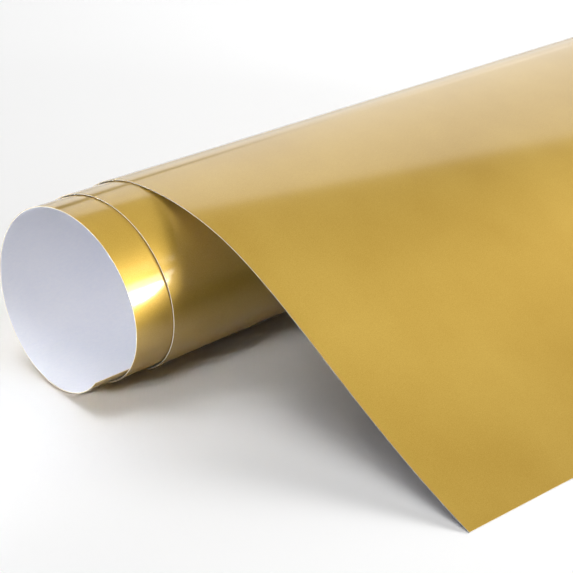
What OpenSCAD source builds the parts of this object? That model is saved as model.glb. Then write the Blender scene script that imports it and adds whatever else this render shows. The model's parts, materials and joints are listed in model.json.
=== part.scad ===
// Coreless roll of self-adhesive sign vinyl, gold face out, with its last half-turn hanging loose.
// The web is one laminate of face film, adhesive and paper liner. It runs outward along a spiral
// round the X axis, leaves the roll near its top, and reaches the table at its cut end.
// The web is divided across its length where it slides, bends or peels.

/* [Web] */
// Width of the web, along the roll
web_w = 305; // [150:5:610]
// Thickness of the vinyl face film
film_t = 0.08; // [0.05:0.01:0.15]
// Thickness of the adhesive coat
adhesive_t = 0.03; // [0.02:0.01:0.06]
// Thickness of the silicone-coated paper liner
liner_t = 0.15; // [0.08:0.01:0.2]
// Clearance at the silicone face, where the adhesive lets go of the liner
release_gap = 0.02; // [0.01:0.01:0.05]

/* [Wound part] */
// Radius of the web's outer face at its start, inside the roll
start_r = 26.8; // [20:0.2:40]
// Angle of the start edge round the axis, from +Y through +Z, in degrees
start_angle = 218; // [180:1:260]
// Angle through which the web is wound, in degrees
wound_angle = 953; // [900:1:960]
// Growth of the radius in one turn
turn_pitch = 0.63; // [0.5:0.01:1]
// How much wider than high the roll has settled, as a share of its radius
squash = 0.026; // [0:0.002:0.05]
// How far each turn hangs below the one inside it
turn_sag = 0.1; // [0:0.02:0.15]
// How far along the roll the first turn steps inward
telescope_lead = 10; // [0:0.5:20]
// How much more each later turn steps inward
telescope_growth = 0.95; // [0:0.05:3]
// How many arcs the wound part is divided into
wrap_count = 5; // [5:1:5]

/* [Loose part] */
// Length of each of the bending leaves, from the roll outward
leaf_l = 23; // [16:1:30]
// Length of the tail, which carries the peeling film
tail_l = 46.2; // [42:0.2:60]
// Slope below level at the take-off, at each leaf's outer edge and at the cut end, in degrees
leaf_slopes = [1, 16, 29.5, 32.5, 29.5, 18.7];
// Share by which the far edge of the loose part is longer than the near edge
fan_out = 0.18; // [0:0.01:0.2]
// Share by which the far edge slopes less, so that both ends of the cut edge reach the table
fan_ease = 0.1925; // [0:0.0005:0.22]
// Length of each flap of film that peels off the liner
flap_l = 7.6; // [6:0.2:8]
// How many flaps the peeling film has
flap_count = 5; // [5:1:5]

/* [Hidden] */
// Open cut between neighbouring stations of the web
cut_gap = 0.1;
// Arc of one facet of the wound part, in degrees
facet_angle = 7.5;
// Length of one facet of the loose part
facet_l = 4;
// Length of web between two samples when the loose part's profile is added up
sample_l = 0.5;

leaf_count = len(leaf_slopes) - 2;
loose_l = leaf_count * leaf_l + tail_l;
wrap_angle = wound_angle / wrap_count;
peel_start = loose_l - flap_count * flap_l;

// Depths below the web's outer face at which each layer begins and ends
film_span = [0, film_t];
adhesive_span = [film_t, film_t + adhesive_t];
liner_top = film_t + adhesive_t + release_gap;
liner_span = [liner_top, liner_top + liner_t];

gold = "#c9a24a";
glue = "#e9dfc0";
paper = "#f2f1ee";

// ---- The wound part, in the roll's own axes: [along the axis, to the back, up] ----

// Outer radius of the web after it has been wound through an angle
function radius(angle) = start_r + turn_pitch * angle / 360;

// How far along the axis the near edge lies after an angle
function near_edge(angle) =
    telescope_lead * angle / 360 + telescope_growth * pow(angle / 360, 2);

// Point of the section at an angle, at a depth below the outer face
function section_point(angle, depth) =
    let (r = radius(angle) - depth, at = start_angle + angle)
    [(1 + squash) * r * cos(at), (1 - squash) * r * sin(at) - turn_sag * angle / 360];

// Point of the wound web: side is 0 at the near edge and 1 at the far edge
function wound_point(angle, side, depth) =
    let (p = section_point(angle, depth))
    [near_edge(angle) + side * web_w, p[0], p[1]];

// ---- The loose part ----

// Angle at which a station of the loose web slopes down, on the near edge
function near_slope(s) =
    let (i = min(floor(s / leaf_l), leaf_count))
    let (span = i < leaf_count ? leaf_l : tail_l)
    let (share = (s - i * leaf_l) / span)
    leaf_slopes[i] + (leaf_slopes[i + 1] - leaf_slopes[i]) * share;

// The far edge is longer and slopes less, so both edges come down equally far
function edge_length(side) = 1 + side * fan_out;
function edge_slope(s, side) = near_slope(s) / (1 + side * fan_ease);

// Sideways travel of the near edge: it leaves with the wound part's lead and swings back
take_off_lead = (near_edge(wound_angle) - near_edge(wound_angle - 1)) / (radius(wound_angle) * PI / 180);
function loose_edge(s) =
    let (w = s / loose_l)
    near_edge(wound_angle) + take_off_lead * (s - 2 * loose_l * (pow(w, 3) - pow(w, 4) / 2));

// Running sum of a profile's steps, from the take-off outward
function run(steps, i = 0, at = [0, 0]) =
    i == len(steps) ? [at] : concat([at], run(steps, i + 1, at + steps[i]));

sample_count = ceil(loose_l / sample_l);
function profile(side) =
    let (ds = loose_l / sample_count)
    let (steps = [for (i = [0 : sample_count - 1])
        let (b = edge_slope((i + 0.5) * ds, side))
        ds * edge_length(side) * [-cos(b), -sin(b)]])
    run(steps, 0, section_point(wound_angle, 0));
profiles = [profile(0), profile(1)];

// Point of a profile at a length from the take-off
function profile_point(s, side) =
    let (u = s / loose_l * sample_count)
    let (i = min(floor(u), sample_count - 1))
    profiles[side][i] + (u - i) * (profiles[side][i + 1] - profiles[side][i]);

// Point of the loose web at a length from the take-off, a side and a depth
function loose_point(s, side, depth) =
    let (p = profile_point(s, side), b = edge_slope(s, side))
    [loose_edge(s) + side * web_w, p[0] + depth * sin(b), p[1] - depth * cos(b)];

// ---- Where the part stands: its box is centred over the origin and rests on the table ----

full_depth = liner_span[1];
box_points = concat(
    [for (a = [0 : 1 : wound_angle]) for (side = [0, 1]) wound_point(a, side, 0)],
    [for (s = [0 : 1 : loose_l]) for (side = [0, 1]) loose_point(s, side, full_depth)],
    [for (side = [0, 1]) loose_point(loose_l, side, 0)]
);
function low(axis) = min([for (p = box_points) p[axis]]);
function high(axis) = max([for (p = box_points) p[axis]]);
seat = [-(low(0) + high(0)) / 2, -(low(1) + high(1)) / 2, -low(2)];

// ---- Solids ----

// Evenly spread stations from a to b, no further apart than step
function stations(a, b, step) =
    let (n = ceil((b - a) / step))
    [for (i = [0 : n]) a + (b - a) * i / n];

// Closed solid through rings of four corners, one ring for each station. The inner face is split
// along the same diagonals as the outer face, so that layers which touch share their facets.
module strip(rings) {
    n = len(rings);
    points = [for (ring = rings) for (p = ring) p];
    sides = [for (i = [0 : n - 2]) for (j = [0 : 3])
        let (a = 4 * i + j, b = 4 * i + (j + 1) % 4, inner_face = j == 2)
        each inner_face
            ? [[a, b, a + 4], [b, b + 4, a + 4]]
            : [[a, b, b + 4], [a, b + 4, a + 4]]];
    last = 4 * (n - 1);
    caps = [[0, 2, 1], [0, 3, 2], [last, last + 1, last + 2], [last, last + 2, last + 3]];
    translate(seat) polyhedron(points, concat(sides, caps));
}

// One layer of one arc of the wound part
module wrap_layer(index, span) {
    margin = cut_gap / 2 / start_r * 180 / PI;
    from = (index - 1) * wrap_angle + (index > 1 ? margin : 0);
    to = index * wrap_angle - margin;
    strip([for (a = stations(from, to, facet_angle)) [
        wound_point(a, 0, span[0]),
        wound_point(a, 1, span[0]),
        wound_point(a, 1, span[1]),
        wound_point(a, 0, span[1])
    ]]);
}

// Stations through a list of marks, with the first and last pulled in by the cut
function marked_stations(marks) =
    let (n = len(marks) - 1)
    let (end = marks[n] < loose_l ? marks[n] - cut_gap / 2 : loose_l)
    let (pulled = [for (i = [0 : n]) i == 0 ? marks[0] + cut_gap / 2 : i == n ? end : marks[i]])
    concat(
        [for (i = [0 : n - 1])
            let (row = stations(pulled[i], pulled[i + 1], facet_l))
            for (j = [0 : len(row) - 2]) row[j]],
        [end]
    );

// One layer of the loose part, between the first and the last mark
module loose_layer(marks, span) {
    strip([for (s = marked_stations(marks)) [
        loose_point(s, 0, span[0]),
        loose_point(s, 1, span[0]),
        loose_point(s, 1, span[1]),
        loose_point(s, 0, span[1])
    ]]);
}

module wrap_film(index) color(gold) wrap_layer(index, film_span);
module wrap_adhesive(index) color(glue) wrap_layer(index, adhesive_span);
module wrap_liner(index) color(paper) wrap_layer(index, liner_span);

function leaf_marks(index) = [(index - 1) * leaf_l, index * leaf_l];
module leaf_film(index) color(gold) loose_layer(leaf_marks(index), film_span);
module leaf_adhesive(index) color(glue) loose_layer(leaf_marks(index), adhesive_span);
module leaf_liner(index) color(paper) loose_layer(leaf_marks(index), liner_span);

// The tail's liner is marked where each flap ends, so that its facets lie under the flaps' own
function flap_marks(index) = [peel_start + (index - 1) * flap_l, peel_start + index * flap_l];
tail_start = leaf_count * leaf_l;
tail_film_marks = [tail_start, peel_start];
tail_liner_marks = concat(tail_film_marks, [for (i = [1 : flap_count]) flap_marks(i)[1]]);
module tail_film() color(gold) loose_layer(tail_film_marks, film_span);
module tail_adhesive() color(glue) loose_layer(tail_film_marks, adhesive_span);
module tail_liner() color(paper) loose_layer(tail_liner_marks, liner_span);
module flap_film(index) color(gold) loose_layer(flap_marks(index), film_span);
module flap_adhesive(index) color(glue) loose_layer(flap_marks(index), adhesive_span);

wrap_film(1);  // wrap_1_film
wrap_adhesive(1);  // wrap_1_adhesive
wrap_liner(1);  // wrap_1_liner
wrap_film(2);  // wrap_2_film
wrap_adhesive(2);  // wrap_2_adhesive
wrap_liner(2);  // wrap_2_liner
wrap_film(3);  // wrap_3_film
wrap_adhesive(3);  // wrap_3_adhesive
wrap_liner(3);  // wrap_3_liner
wrap_film(4);  // wrap_4_film
wrap_adhesive(4);  // wrap_4_adhesive
wrap_liner(4);  // wrap_4_liner
wrap_film(5);  // wrap_5_film
wrap_adhesive(5);  // wrap_5_adhesive
wrap_liner(5);  // wrap_5_liner
leaf_film(1);  // leaf_1_film
leaf_adhesive(1);  // leaf_1_adhesive
leaf_liner(1);  // leaf_1_liner
leaf_film(2);  // leaf_2_film
leaf_adhesive(2);  // leaf_2_adhesive
leaf_liner(2);  // leaf_2_liner
leaf_film(3);  // leaf_3_film
leaf_adhesive(3);  // leaf_3_adhesive
leaf_liner(3);  // leaf_3_liner
leaf_film(4);  // leaf_4_film
leaf_adhesive(4);  // leaf_4_adhesive
leaf_liner(4);  // leaf_4_liner
tail_film();
tail_adhesive();
tail_liner();
flap_film(1);  // flap_1_film
flap_adhesive(1);  // flap_1_adhesive
flap_film(2);  // flap_2_film
flap_adhesive(2);  // flap_2_adhesive
flap_film(3);  // flap_3_film
flap_adhesive(3);  // flap_3_adhesive
flap_film(4);  // flap_4_film
flap_adhesive(4);  // flap_4_adhesive
flap_film(5);  // flap_5_film
flap_adhesive(5);  // flap_5_adhesive
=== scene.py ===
"""Coreless roll of gold sign vinyl: the looks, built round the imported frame."""

import json
import logging
import math
from dataclasses import dataclass, field
from enum import Enum

import bpy
import numpy as np
from mathutils import Matrix, Vector


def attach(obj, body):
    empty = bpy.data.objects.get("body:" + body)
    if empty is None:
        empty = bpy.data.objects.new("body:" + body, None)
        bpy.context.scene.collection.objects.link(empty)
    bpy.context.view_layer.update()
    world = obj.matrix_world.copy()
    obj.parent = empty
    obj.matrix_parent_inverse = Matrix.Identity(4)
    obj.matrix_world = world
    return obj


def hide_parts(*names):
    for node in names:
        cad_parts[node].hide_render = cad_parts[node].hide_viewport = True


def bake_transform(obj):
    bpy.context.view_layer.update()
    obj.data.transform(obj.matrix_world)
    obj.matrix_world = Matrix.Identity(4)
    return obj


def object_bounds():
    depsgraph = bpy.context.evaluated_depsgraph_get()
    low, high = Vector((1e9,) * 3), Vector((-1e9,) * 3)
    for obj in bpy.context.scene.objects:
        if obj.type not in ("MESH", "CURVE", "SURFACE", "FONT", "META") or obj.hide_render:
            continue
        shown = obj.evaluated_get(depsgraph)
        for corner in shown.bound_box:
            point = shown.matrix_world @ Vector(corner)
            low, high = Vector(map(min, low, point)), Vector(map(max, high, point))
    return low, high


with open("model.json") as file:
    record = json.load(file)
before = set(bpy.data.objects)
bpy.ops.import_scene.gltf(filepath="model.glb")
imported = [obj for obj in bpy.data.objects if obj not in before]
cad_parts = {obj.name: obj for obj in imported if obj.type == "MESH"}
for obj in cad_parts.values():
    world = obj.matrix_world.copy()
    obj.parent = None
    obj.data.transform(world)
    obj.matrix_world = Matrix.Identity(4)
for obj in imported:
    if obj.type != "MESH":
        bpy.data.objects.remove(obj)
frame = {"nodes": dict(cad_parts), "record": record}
CAD_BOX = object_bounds()

log = logging.getLogger("vinyl_roll")
MM = 0.001
Pair = tuple[float, float]
Triple = tuple[float, float, float]
Shade = tuple[float, float, float, float]


def joint_place(name: str) -> Vector:
    """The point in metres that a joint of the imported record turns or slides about."""
    joint = next(j for j in frame["record"]["behaviour"]["joints"] if j["name"] == name)
    return Vector(joint["pos_m"])


# ---- Camera -------------------------------------------------------------------------------


@dataclass(frozen=True)
class ProductCamera:
    """A camera that looks down along the roll from its stepped end."""

    lens_mm: float = 88.3
    sensor_mm: float = 36.0
    heading_deg: float = 45.1
    pitch_deg: float = 25.52
    roll_deg: float = 0.88
    # Where the start corner of the web lies before the lens: right, up and away, in metres
    corner: Triple = (-0.06696, -0.00504, 0.38944)

    def axes(self) -> tuple[Vector, Vector, Vector]:
        """Works out the camera's own directions.

        Returns:
            Right, up and forward.
        """
        angles = (self.heading_deg, self.pitch_deg, self.roll_deg)
        heading, pitch, roll = (math.radians(angle) for angle in angles)
        level = math.cos(pitch)
        forward = Vector((math.cos(heading) * level, math.sin(heading) * level, -math.sin(pitch)))
        right = Vector((math.sin(heading), -math.cos(heading), 0.0))
        up = right.cross(forward)
        return (
            right * math.cos(roll) + up * math.sin(roll),
            up * math.cos(roll) - right * math.sin(roll),
            forward,
        )

    def build(self, axis_start: Vector) -> None:
        """Makes the camera and sets it as the scene's own.

        Args:
            axis_start: The point of the roll's axis level with the start corner.
        """
        right, up, forward = self.axes()
        place = axis_start - right * self.corner[0] - up * self.corner[1] - forward * self.corner[2]
        data = bpy.data.cameras.new("product_camera")
        data.lens = self.lens_mm
        data.sensor_width = self.sensor_mm
        data.clip_start = 0.01
        data.clip_end = 20.0
        camera = bpy.data.objects.new("product_camera", data)
        bpy.context.scene.collection.objects.link(camera)
        turn = Matrix((right, up, -forward)).transposed().to_4x4()
        camera.matrix_world = Matrix.Translation(place) @ turn
        bpy.context.scene.camera = camera


# ---- The web's shape ----------------------------------------------------------------------


@dataclass(frozen=True)
class Web:
    """The laminate and the path it takes, in millimetres and degrees.

    A station is a length along the web from the take-off: below zero in the wound part, above
    zero in the loose part.
    """

    width: float = 305.0
    start_r: float = 26.8
    start_angle: float = 218.0
    wound_angle: float = 953.0
    turn_pitch: float = 0.63
    squash: float = 0.026
    turn_sag: float = 0.1
    telescope_lead: float = 10.0
    telescope_growth: float = 0.95
    leaf_l: float = 23.0
    tail_l: float = 46.2
    # Slopes at the leaf edges, of which the first gives way to the roll's own at the take-off
    leaf_slopes: tuple[float, ...] = (1.0, 16.0, 29.5, 32.5, 29.5, 18.7)
    fan_out: float = 0.18
    laminate_t: float = 0.28
    sample_l: float = 0.25
    steepness_bounds: Pair = (0.6, 1.2)
    settling_rounds: int = 40
    profiles: dict[int, np.ndarray] = field(default_factory=dict, compare=False)

    def __post_init__(self) -> None:
        """Adds up the loose part's profile along its near edge and along its far edge."""
        for side in (0, 1):
            self.profiles[side] = self._settled_profile(side)

    @property
    def leaf_count(self) -> int:
        """How many bending leaves lie between the roll and the tail."""
        return len(self.leaf_slopes) - 2

    @property
    def loose_l(self) -> float:
        """Length of the loose part on its near edge."""
        return self.leaf_count * self.leaf_l + self.tail_l

    @property
    def turn_mm(self) -> float:
        """Length of web for one degree at the outside of the roll."""
        return math.radians(self.radius(self.wound_angle))

    @property
    def seat(self) -> np.ndarray:
        """Place of the roll's own axes in the row frame, from the joint at the take-off."""
        section = self.section(self.wound_angle)
        middle = np.array([self.near_edge(self.wound_angle) + self.width / 2, *section])
        return np.array(joint_place("lift_1")) / MM - middle

    def radius(self, angle: float) -> float:
        """Outer radius of the web after it has been wound through an angle."""
        return self.start_r + self.turn_pitch * angle / 360

    def near_edge(self, angle: float) -> float:
        """How far along the axis the near edge lies after an angle."""
        turns = angle / 360
        return self.telescope_lead * turns + self.telescope_growth * turns**2

    def section(self, angle: float) -> np.ndarray:
        """Places the web's outer face on the spiral.

        Args:
            angle: How far the web has been wound, in degrees.

        Returns:
            The point to the back and up, from the roll's axis.
        """
        radius = self.radius(angle)
        at = math.radians(self.start_angle + angle)
        return np.array([
            (1 + self.squash) * radius * math.cos(at),
            (1 - self.squash) * radius * math.sin(at) - self.turn_sag * angle / 360,
        ])

    def slope(self, station: float) -> float:
        """Eases the near edge's slope through the slopes at the leaf edges.

        Args:
            station: Length along the loose part.

        Returns:
            The slope below level, in degrees.
        """
        marks = [i * self.leaf_l for i in range(self.leaf_count + 1)] + [self.loose_l]
        slopes = (self.take_off_slope(), *self.leaf_slopes[1:])
        i = min(max(int(station // self.leaf_l), 0), self.leaf_count)
        span = marks[i + 1] - marks[i]
        share = (station - marks[i]) / span

        def lean(k: int) -> float:
            """Change of slope with length at a mark."""
            before, after = max(k - 1, 0), min(k + 1, len(marks) - 1)
            return (slopes[after] - slopes[before]) / (marks[after] - marks[before])

        cube, square = share**3, share**2
        return (
            slopes[i] * (2 * cube - 3 * square + 1)
            + slopes[i + 1] * (3 * square - 2 * cube)
            + span * lean(i) * (cube - 2 * square + share)
            + span * lean(i + 1) * (cube - square)
        )

    def take_off_slope(self) -> float:
        """Slope below level at which the wound part hands over to the loose part."""
        step = self.section(self.wound_angle) - self.section(self.wound_angle - 0.5)
        return math.degrees(math.atan2(-step[1], -step[0]))

    def _profile(self, side: int, steepness: float) -> np.ndarray:
        """Lays the loose part out from the take-off along one edge.

        Args:
            side: 0 at the near edge and 1 at the far edge.
            steepness: The share of the near edge's change of slope that the edge takes.

        Returns:
            Points of the profile, to the back and up.
        """
        count = math.ceil(self.loose_l / self.sample_l)
        step = self.loose_l / count
        first = self.take_off_slope()
        points = [self.section(self.wound_angle)]
        for i in range(count):
            slope = first + steepness * (self.slope((i + 0.5) * step) - first)
            fall = math.radians(slope)
            ahead = np.array([-math.cos(fall), -math.sin(fall)])
            points.append(points[-1] + step * (1 + side * self.fan_out) * ahead)
        return np.array(points)

    def _settled_profile(self, side: int) -> np.ndarray:
        """Finds the profile whose cut end comes down level with the bottom of the roll.

        Args:
            side: 0 at the near edge and 1 at the far edge.

        Returns:
            Points of the profile, to the back and up.
        """
        last = int(self.wound_angle)
        bottom = min(self.section(angle)[1] for angle in range(last - 359, last))
        gentle, steep = self.steepness_bounds
        for _ in range(self.settling_rounds):
            middle = (gentle + steep) / 2
            end = self._profile(side, middle)
            fall = end[-1] - end[-2]
            under = end[-1][1] + self.laminate_t * fall[0] / np.linalg.norm(fall)
            if under > bottom:
                gentle = middle
            else:
                steep = middle
        return self._profile(side, gentle)

    def _loose_edge(self, station: float) -> float:
        """Swings the near edge of the loose part from the roll's lead toward square.

        Args:
            station: Length along the loose part.

        Returns:
            How far along the axis the edge lies.
        """
        take_off = self.near_edge(self.wound_angle)
        lead = (take_off - self.near_edge(self.wound_angle - 1)) / self.turn_mm
        share = station / self.loose_l
        swing = station - 2 * self.loose_l * (share**3 - share**4 / 2)
        return take_off + lead * swing

    def point(self, station: float, side: float) -> np.ndarray:
        """Point of the web's outer face in the row frame, in metres.

        Args:
            station: Length along the web from the take-off.
            side: 0 at the near edge and 1 at the far edge.

        Returns:
            The point.
        """
        if station <= 0:
            angle = self.wound_angle + station / self.turn_mm
            local = np.array([self.near_edge(angle) + side * self.width, *self.section(angle)])
        else:
            at = station / self.loose_l * (len(self.profiles[0]) - 1)
            i = min(int(at), len(self.profiles[0]) - 2)
            near, far = (
                profile[i] + (at - i) * (profile[i + 1] - profile[i])
                for profile in (self.profiles[0], self.profiles[1])
            )
            across = near + side * (far - near)
            local = np.array([self._loose_edge(station) + side * self.width, *across])
        return (local + self.seat) * MM


# ---- Shader maths -------------------------------------------------------------------------


class Wire:
    """A shader socket that takes part in Python expressions."""

    def __init__(self, board: "Board", socket: bpy.types.NodeSocket) -> None:
        """Wraps an output socket of a board's node."""
        self.board = board
        self.socket = socket

    def _maths(self, operation: str, *values: "Wire | float") -> "Wire":
        """Adds one Math node on values."""
        return self.board.node("ShaderNodeMath", {"operation": operation}, dict(enumerate(values)))

    def __add__(self, other: "Wire | float") -> "Wire":
        """Sum."""
        return self._maths("ADD", self, other)

    __radd__ = __add__

    def __mul__(self, other: "Wire | float") -> "Wire":
        """Product."""
        return self._maths("MULTIPLY", self, other)

    __rmul__ = __mul__

    def spread(self, low: float, high: float) -> "Wire":
        """Spreads the values from low to high over 0 to 1, and clamps them."""
        sockets = {"Value": self, "From Min": low, "From Max": high}
        return self.board.node("ShaderNodeMapRange", {"clamp": True}, sockets)

    def mixed(self, below: "Wire | Shade", above: "Wire | Shade") -> "Wire":
        """Colour between two colours, this value being the share of the second."""
        sockets = {"Factor": self, 6: below, 7: above}
        return self.board.node("ShaderNodeMix", {"data_type": "RGBA"}, sockets, output=2)


class Board:
    """One material and the nodes on it."""

    def __init__(self, name: str) -> None:
        """Makes a material with a Principled surface and nothing else."""
        self.material = bpy.data.materials.new(name)
        self.material.use_nodes = True
        self.tree = self.material.node_tree
        self.surface = self.tree.nodes["Principled BSDF"]

    def node(
        self,
        kind: str,
        settings: dict[str, object],
        sockets: dict[int | str, object],
        output: int | str = 0,
    ) -> Wire:
        """Adds a node.

        Args:
            kind: The node's type.
            settings: Its own settings, set first.
            sockets: Values or wires for its inputs, by name or index.
            output: Which output the wire is taken from.

        Returns:
            The wire from that output.
        """
        made = self.tree.nodes.new(kind)
        for key, value in settings.items():
            setattr(made, key, value)
        for key, value in sockets.items():
            self.feed(made.inputs[key], value)
        return Wire(self, made.outputs[output])

    def feed(self, socket: bpy.types.NodeSocket, value: object) -> None:
        """Sets a socket to a value, or links a wire to it.

        Args:
            socket: The input.
            value: A wire, or a plain value.
        """
        if isinstance(value, Wire):
            self.tree.links.new(value.socket, socket)
        else:
            socket.default_value = value

    def place(self) -> Wire:
        """The Object coordinates of the point being shaded, in metres."""
        return self.node("ShaderNodeTexCoord", {}, {}, output="Object")

    def stretched(self, place: Wire, scale: Triple) -> Wire:
        """Coordinates scaled along each axis."""
        return self.node("ShaderNodeMapping", {}, {"Vector": place, "Scale": scale})

    def noise(
        self, place: Wire, per_metre: float, detail: float = 2.0, roughness: float = 0.5
    ) -> Wire:
        """Soft noise of a scale, from 0 to 1."""
        sockets = {"Vector": place, "Scale": per_metre, "Detail": detail, "Roughness": roughness}
        return self.node("ShaderNodeTexNoise", {}, sockets)

    def bump(
        self, height: Wire, depth_m: float, strength: float, under: Wire | None = None
    ) -> Wire:
        """Roughens the normal by a height.

        Args:
            height: The height, from 0 to 1.
            depth_m: The depth of a height of 1, in metres.
            strength: The share of the effect.
            under: A normal that the bumps lie on, if not the surface's own.

        Returns:
            The roughened normal.
        """
        sockets = {"Height": height, "Distance": depth_m, "Strength": strength}
        if under is not None:
            sockets["Normal"] = under
        return self.node("ShaderNodeBump", {}, sockets)

    def set(self, **values: object) -> None:
        """Sets the surface's inputs by name, an underscore standing for a space."""
        for key, value in values.items():
            self.feed(self.surface.inputs[key.replace("_", " ")], value)


# ---- Finishes -----------------------------------------------------------------------------


@dataclass(frozen=True)
class GoldFace:
    """Satin gold film with fine grain under a clear gloss coat."""

    deep: Shade = (0.45, 0.265, 0.022, 1.0)
    bright: Shade = (0.68, 0.46, 0.09, 1.0)
    roughness: Pair = (0.44, 0.52)
    cloud_per_m: float = 22.0
    grain_per_m: float = 5200.0
    peel_per_m: float = 420.0
    grain_depth: float = 0.00001
    peel_depth: float = 0.000012
    metallic: float = 0.7
    coat_roughness: float = 0.13
    coat_ior: float = 1.78

    def material(self) -> bpy.types.Material:
        """Builds the finish.

        Returns:
            The material.
        """
        board = Board("gold_film_face")
        place = board.place()
        cloud = board.noise(place, self.cloud_per_m, 3)
        grain = board.noise(place, self.grain_per_m, 2, 0.6)
        share = cloud.spread(0.2, 0.8) * 0.5 + grain.spread(0.3, 0.7) * 0.5
        peel = board.noise(place, self.peel_per_m, 2)
        speck = board.bump(grain, self.grain_depth, 0.5)
        low, high = self.roughness
        board.set(
            Base_Color=share.mixed(self.deep, self.bright),
            Metallic=self.metallic,
            Roughness=grain * (high - low) + low,
            Normal=board.bump(peel, self.peel_depth, 0.6, under=speck),
            Coat_Weight=1.0,
            Coat_Roughness=self.coat_roughness,
            Coat_IOR=self.coat_ior,
        )
        return board.material


@dataclass(frozen=True)
class FilmEdge:
    """The cut edge of the film, paler than its face."""

    tone: Shade = (0.86, 0.74, 0.46, 1.0)
    shade: Shade = (0.74, 0.58, 0.30, 1.0)
    nick_per_m: float = 900.0

    def material(self) -> bpy.types.Material:
        """Builds the finish.

        Returns:
            The material.
        """
        board = Board("gold_film_cut_edge")
        nick = board.noise(board.place(), self.nick_per_m, 2)
        tone = nick.spread(0.35, 0.7).mixed(self.shade, self.tone)
        board.set(Base_Color=tone, Metallic=0.2, Roughness=0.45)
        return board.material


@dataclass(frozen=True)
class Adhesive:
    """The clear acrylic adhesive, with the faint orange peel of its coating."""

    thin: Shade = (0.70, 0.60, 0.38, 1.0)
    thick: Shade = (0.80, 0.72, 0.52, 1.0)
    cloud_per_m: float = 60.0
    dimple_per_m: float = 1400.0
    dimple_depth: float = 0.00002

    def material(self) -> bpy.types.Material:
        """Builds the finish.

        Returns:
            The material.
        """
        board = Board("clear_adhesive")
        place = board.place()
        cloud = board.noise(place, self.cloud_per_m, 3)
        dimple = board.noise(place, self.dimple_per_m, 2)
        board.set(
            Base_Color=cloud.mixed(self.thin, self.thick),
            Roughness=cloud * 0.15 + 0.2,
            Specular_IOR_Level=0.45,
            Normal=board.bump(dimple, self.dimple_depth, 0.3),
        )
        return board.material


@dataclass(frozen=True)
class LinerPaper:
    """White release liner: smooth silicone-coated paper with a faint fibre cloud."""

    cool: Shade = (0.83, 0.85, 0.94, 1.0)
    warm: Shade = (0.93, 0.93, 0.97, 1.0)
    fibre_per_m: float = 700.0
    fibre_stretch: Triple = (1.0, 2.4, 2.4)
    cloud_per_m: float = 35.0
    fibre_depth: float = 0.00002

    def material(self) -> bpy.types.Material:
        """Builds the finish.

        Returns:
            The material.
        """
        board = Board("release_liner_paper")
        place = board.place()
        fibre = board.noise(board.stretched(place, self.fibre_stretch), self.fibre_per_m, 3, 0.6)
        cloud = board.noise(place, self.cloud_per_m, 3)
        share = fibre.spread(0.3, 0.7) * 0.4 + cloud.spread(0.3, 0.7) * 0.6
        board.set(
            Base_Color=share.mixed(self.cool, self.warm),
            Roughness=fibre * 0.14 + 0.38,
            Specular_IOR_Level=0.45,
            Normal=board.bump(fibre, self.fibre_depth, 0.25),
        )
        return board.material


@dataclass(frozen=True)
class PaperEdge:
    """The cut edge of the liner: bare, matt paper."""

    tone: Shade = (0.93, 0.91, 0.86, 1.0)
    shade: Shade = (0.78, 0.75, 0.70, 1.0)
    fray_per_m: float = 1500.0

    def material(self) -> bpy.types.Material:
        """Builds the finish.

        Returns:
            The material.
        """
        board = Board("release_liner_cut_edge")
        fray = board.noise(board.place(), self.fray_per_m, 3)
        board.set(Base_Color=fray.spread(0.3, 0.7).mixed(self.shade, self.tone), Roughness=0.9)
        return board.material


# ---- The layers of the web ----------------------------------------------------------------


class Layer(Enum):
    """A layer of the laminate: its node suffix, and where it begins and ends below the face."""

    FILM = ("film", 0.0, 0.08)
    ADHESIVE = ("adhesive", 0.08, 0.11)
    LINER = ("liner", 0.13, 0.28)

    @property
    def word(self) -> str:
        """The layer's name, which is also its material slot in the record."""
        return self.value[0]

    @property
    def top(self) -> float:
        """Depth at which the layer begins, in millimetres."""
        return self.value[1]

    @property
    def thickness(self) -> float:
        """Thickness of the layer, in millimetres."""
        return self.value[2] - self.value[1]


@dataclass(frozen=True)
class Stretch:
    """One stretch of a layer, which rides on one body or bends between two."""

    start: float
    end: float
    bodies: tuple[str, ...]
    # The station about which the stretch bends, and how far the bend reaches to each side
    hinge: float = 0.0
    reach: Pair = (0.0, 0.0)

    @property
    def length(self) -> float:
        """Length of web in the stretch."""
        return self.end - self.start


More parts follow.
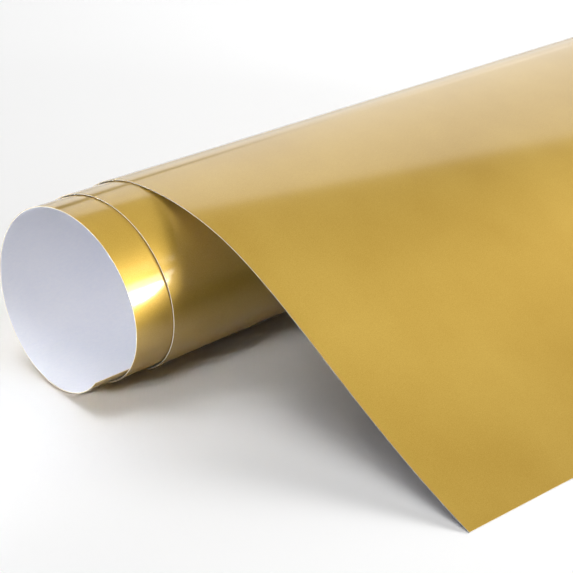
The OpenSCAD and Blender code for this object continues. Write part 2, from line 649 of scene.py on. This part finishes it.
@dataclass
class WebBuilder:
    """Builds the film, adhesive and liner as smooth sheets that stand for the CAD nodes."""

    web: Web
    wrap_count: int = 5
    flap_l: float = 7.6
    flap_count: int = 5
    facet_l: float = 1.0
    across: int = 24
    seam_l: float = 0.04
    bend_share: float = 0.92
    chord_share: float = 0.96
    take_off_run: float = 5.0
    shortest_sheet: float = 10.0
    smooth_angle_deg: float = 35.0
    hinge_feel: float = 0.1
    finishes: dict[Layer, tuple[bpy.types.Material, ...]] = field(default_factory=dict)

    def dress(self) -> None:
        """Makes the finishes of the three layers: the face first, and then the cut edge."""
        self.finishes = {
            Layer.FILM: (GoldFace().material(), FilmEdge().material()),
            Layer.ADHESIVE: (Adhesive().material(),) * 2,
            Layer.LINER: (LinerPaper().material(), PaperEdge().material()),
        }

    def wound_stretches(self) -> list[Stretch]:
        """Cuts the wound part into half an arc at each end, and arcs that bend between wraps.

        Returns:
            The stretches, from the middle of the roll outward.
        """
        web = self.web
        arc = web.wound_angle / self.wrap_count * web.turn_mm
        first = -web.wound_angle * web.turn_mm
        middles = [first + (i + 0.5) * arc for i in range(self.wrap_count)]
        made = [Stretch(first, middles[0], ("wrap_1",))]
        for i, (here, there) in enumerate(zip(middles, middles[1:])):
            hinge = (here + there) / 2
            chord = self.chord_share * web.radius(web.wound_angle + hinge / web.turn_mm)
            bodies = (f"wrap_{i + 1}", f"wrap_{i + 2}")
            made.append(Stretch(here, there, bodies, hinge, (chord, chord)))
        made.append(Stretch(middles[-1], -self.take_off_run, (f"wrap_{self.wrap_count}",)))
        return made

    def leaf_stretches(self) -> list[Stretch]:
        """Cuts the loose part, as far as the tail, into stretches that bend between leaves.

        Returns:
            The stretches, from the roll outward.
        """
        web = self.web
        bodies = [f"wrap_{self.wrap_count}"] + [f"leaf_{i + 1}" for i in range(web.leaf_count)]
        made = []
        here = -self.take_off_run
        for i, pair in enumerate(zip(bodies, bodies[1:])):
            there = (i + 0.5) * web.leaf_l
            hinge = i * web.leaf_l
            made.append(Stretch(here, there, pair, hinge, self.reach(hinge - here, there - hinge)))
            here = there
        return made

    def reach(self, before: float, after: float) -> Pair:
        """How far a bend reaches within the room it has before and after its hinge."""
        return before * self.bend_share, after * self.bend_share

    @property
    def peel_start(self) -> float:
        """Station from which the film peels."""
        return self.web.loose_l - self.flap_count * self.flap_l

    def tail_stretches(self, layer: Layer) -> list[Stretch]:
        """Cuts the tail: film and adhesive peel off flap by flap, and the liner stays.

        Args:
            layer: The layer.

        Returns:
            The stretches, toward the cut end.
        """
        web = self.web
        here = (web.leaf_count - 0.5) * web.leaf_l
        there = self.peel_start - self.flap_l / 2
        hinge = web.leaf_count * web.leaf_l
        bodies = (f"leaf_{web.leaf_count}", "tail")
        made = [Stretch(here, there, bodies, hinge, self.reach(hinge - here, there - hinge))]
        if layer is Layer.LINER:
            return made + [Stretch(there, web.loose_l, ("tail",))]
        bodies = ["tail"] + [f"flap_{i + 1}" for i in range(self.flap_count)]
        for i, pair in enumerate(zip(bodies, bodies[1:])):
            hinge = self.peel_start + i * self.flap_l
            half = self.flap_l / 2
            end = web.loose_l if i + 1 == self.flap_count else hinge + half
            before, after = self.reach(half, half)
            # The first bend starts at the hinge, so that the film doesn't dip into the liner
            made.append(Stretch(hinge - half, end, pair, hinge, (before if i else 0.0, after)))
        return made

    def stations(self, stretch: Stretch) -> list[float]:
        """Spaces a stretch's rows, with a thin one at each seam so that shading runs on.

        Args:
            stretch: The stretch of web.

        Returns:
            The stations of the rows.
        """
        start, end = stretch.start, stretch.end
        count = max(2, math.ceil(stretch.length / self.facet_l))
        inner = np.linspace(start, end, count + 1)[1:-1]
        return [start, start + self.seam_l, *inner, end - self.seam_l, end]

    def sheet(self, name: str, stretch: Stretch, layer: Layer) -> bpy.types.Object:
        """Models one stretch of one layer as a thin closed sheet.

        Args:
            name: The piece's name.
            stretch: The stretch of web.
            layer: The layer.

        Returns:
            The piece, with its place in its mesh.
        """
        rows = self.stations(stretch)[::-1]  # from the outer end, so that the faces look out
        bpy.ops.object.select_all(action="DESELECT")
        bpy.ops.mesh.primitive_grid_add(x_subdivisions=self.across, y_subdivisions=len(rows) - 1)
        piece = bpy.context.active_object
        piece.name = name
        piece.data.name = name
        edges = np.array([[self.web.point(s, side) for side in (0, 1)] for s in rows])
        sides = np.linspace(0, 1, self.across + 1)[None, :, None]
        grid = edges[:, None, 0] + sides * (edges[:, None, 1] - edges[:, None, 0])
        piece.data.vertices.foreach_set("co", grid.astype(np.float32).ravel())
        piece.data.update()
        for finish in self.finishes[layer]:
            piece.data.materials.append(finish)
        self.thicken(piece, layer)
        return piece

    def thicken(self, piece: bpy.types.Object, layer: Layer) -> None:
        """Sinks a bare surface to its layer's depth and gives it the layer's thickness.

        Args:
            piece: The surface, as the outer face of the web.
            layer: The layer.
        """
        data = piece.data
        normals = np.array([v.normal for v in data.vertices])
        places = np.array([v.co for v in data.vertices]) - normals * layer.top * MM
        data.vertices.foreach_set("co", places.astype(np.float32).ravel())
        data.update()
        solid = piece.modifiers.new("thickness", "SOLIDIFY")
        solid.thickness = layer.thickness * MM
        solid.offset = -1.0
        solid.material_offset_rim = 1
        bpy.ops.object.modifier_apply(modifier=solid.name)
        bpy.ops.object.shade_smooth_by_angle(angle=math.radians(self.smooth_angle_deg))

    def carry(self, piece: bpy.types.Object, stretch: Stretch) -> None:
        """Lets a piece ride on its body; a piece between two bodies only has its place baked into
        its mesh.

        Args:
            piece: The piece.
            stretch: The stretch of web that it is made from.
        """
        if len(stretch.bodies) == 1:
            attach(piece, stretch.bodies[0])
            return
        near, middle, far = (self.web.point(stretch.hinge, side) for side in (0, 0.5, 1))
        across = (far - near) / np.linalg.norm(far - near)
        beyond = self.web.point(stretch.hinge + self.hinge_feel, 0.5)
        ahead = beyond - self.web.point(stretch.hinge - self.hinge_feel, 0.5)
        ahead -= across * (ahead @ across)
        ahead *= MM / np.linalg.norm(ahead)
        before, after = stretch.reach
        tuple(middle - ahead * before)
        tuple(middle + ahead * after)
        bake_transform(piece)

    def replace(self, piece: bpy.types.Object, stretch: Stretch, layer: Layer) -> None:
        """Hides the CAD nodes that a piece stands for."""
        nodes = [f"{body}_{layer.word}" for body in stretch.bodies]
        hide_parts(*[n for n in nodes if n in frame["nodes"]])

    def build(self, layer: Layer) -> list[bpy.types.Object]:
        """Builds every stretch of a layer.

        Args:
            layer: The layer.

        Returns:
            Its pieces, from the middle of the roll outward.
        """
        stretches = self.wound_stretches() + self.leaf_stretches() + self.tail_stretches(layer)
        pieces = []
        for number, stretch in enumerate(stretches, start=1):
            piece = self.sheet(f"{layer.word}_{number:02d}", stretch, layer)
            self.replace(piece, stretch, layer)
            self.carry(piece, stretch)
            bodies = " and ".join(stretch.bodies)
            log.info("%s: %.1f mm of web on %s", piece.name, stretch.length, bodies)
            pieces.append(piece)
        self.declare(pieces, stretches)
        return pieces

    def declare(self, pieces: list[bpy.types.Object], stretches: list[Stretch]) -> None:
        """Args:
            pieces: The pieces of a layer.
            stretches: Their stretches.
        """
        sheets: list[tuple[bpy.types.Object, Stretch, list[bpy.types.Object]]] = []
        for piece, stretch in zip(pieces, stretches):
            if stretch.length < self.shortest_sheet:
                sheets[-1][2].append(piece)
            else:
                sheets.append((piece, stretch, []))
        for piece, stretch, more in sheets:
            flat = (self.web.width * MM, stretch.length * MM)


# ---- Floor and light ----------------------------------------------------------------------


@dataclass(frozen=True)
class Softbox:
    """An area light that faces the roll."""

    name: str
    heading_deg: float
    height_deg: float
    distance: float
    size: Pair
    power: float
    outline: str = "RECTANGLE"
    spread_deg: float = 180.0

    def build(self, aim: Vector) -> None:
        """Hangs the light round a point and turns it to it.

        Args:
            aim: The point.
        """
        heading, height = math.radians(self.heading_deg), math.radians(self.height_deg)
        level = math.cos(height)
        away = Vector((math.cos(heading) * level, math.sin(heading) * level, math.sin(height)))
        data = bpy.data.lights.new(self.name, "AREA")
        data.shape = self.outline
        data.spread = math.radians(self.spread_deg)
        data.size, data.size_y = self.size
        data.energy = self.power
        lamp = bpy.data.objects.new(self.name, data)
        bpy.context.scene.collection.objects.link(lamp)
        lamp.visible_camera = False
        lamp.location = aim + away * self.distance
        lamp.rotation_euler = away.to_track_quat("Z", "Y").to_euler()


@dataclass
class Studio:
    """A plain pale floor under soft light."""

    floor_size: float = 3.2
    floor_drop: float = 0.0001
    floor_tones: tuple[Shade, Shade] = ((0.95, 0.95, 0.95, 1.0), (0.97, 0.97, 0.97, 1.0))
    mottle_per_m: float = 4.0
    world_strength: float = 0.03
    shown_strength: float = 0.95
    lights: tuple[Softbox, ...] = (
        Softbox("back_oval_softbox", 32, 30, 1.6, (1.7, 0.92), 4.5, outline="ELLIPSE"),
        Softbox("back_low_softbox", 46, 8, 1.6, (1.7, 0.42), 2.6),
        Softbox("back_top_softbox", 130, 68, 1.5, (1.0, 0.8), 9.5),
        Softbox("top_softbox", 0, 89, 1.5, (1.0, 1.0), 6.0),
        Softbox("far_end_softbox", -30, 26, 1.5, (0.9, 0.4), 15.5),
        Softbox("front_lamp", -62, 2, 1.3, (0.6, 0.5), 21),
        Softbox("front_high_softbox", -64, 11, 1.3, (0.6, 0.5), 4),
    )
    bore_lamp: Softbox = Softbox("bore_lamp", 190, 18, 0.26, (0.06, 0.06), 0.025, spread_deg=24)

    def surround(self) -> bpy.types.World:
        """Makes the pale surround, which gives the object much less light than it shows.

        Returns:
            The world.
        """
        world = bpy.data.worlds.new("studio")
        world.use_nodes = True
        tree = world.node_tree
        shown = tree.nodes["Background"]
        dim = tree.nodes.new("ShaderNodeBackground")
        mix = tree.nodes.new("ShaderNodeMixShader")
        path = tree.nodes.new("ShaderNodeLightPath")
        for node, strength in ((shown, self.shown_strength), (dim, self.world_strength)):
            node.inputs["Color"].default_value = (1.0, 1.0, 1.0, 1.0)
            node.inputs["Strength"].default_value = strength
        tree.links.new(path.outputs["Is Camera Ray"], mix.inputs[0])
        tree.links.new(dim.outputs[0], mix.inputs[1])
        tree.links.new(shown.outputs[0], mix.inputs[2])
        tree.links.new(mix.outputs[0], tree.nodes["World Output"].inputs["Surface"])
        return world

    def build(self, mouth: Vector) -> None:
        """Lays the floor and hangs the lights.

        Args:
            mouth: The middle of the bore's mouth, into which the smallest lamp shines.
        """
        bpy.ops.object.select_all(action="DESELECT")
        bpy.ops.mesh.primitive_plane_add(size=self.floor_size, location=(0, 0, -self.floor_drop))
        floor = bpy.context.active_object
        floor.name = "studio_floor"
        board = Board("pale_floor")
        mottle = board.noise(board.place(), self.mottle_per_m, 2)
        board.set(Base_Color=mottle.mixed(*self.floor_tones), Roughness=0.6)
        floor.data.materials.append(board.material)
        bpy.context.scene.world = self.surround()
        low, high = CAD_BOX
        for light in self.lights:
            light.build((low + high) / 2)
        self.bore_lamp.build(mouth)


def main() -> None:
    """Builds the camera, the web's layers, and the studio."""
    logging.basicConfig(level=logging.INFO, format="%(name)s: %(message)s")
    bpy.context.scene.view_settings.view_transform = "Standard"
    web = Web()
    axis_start = Vector(web.seat * MM)
    ProductCamera().build(axis_start)
    builder = WebBuilder(web)
    builder.dress()
    for layer in Layer:
        pieces = builder.build(layer)
        log.info("%s: %d pieces", layer.word, len(pieces))
    Studio().build(axis_start)


if __name__ == "__main__":
    main()
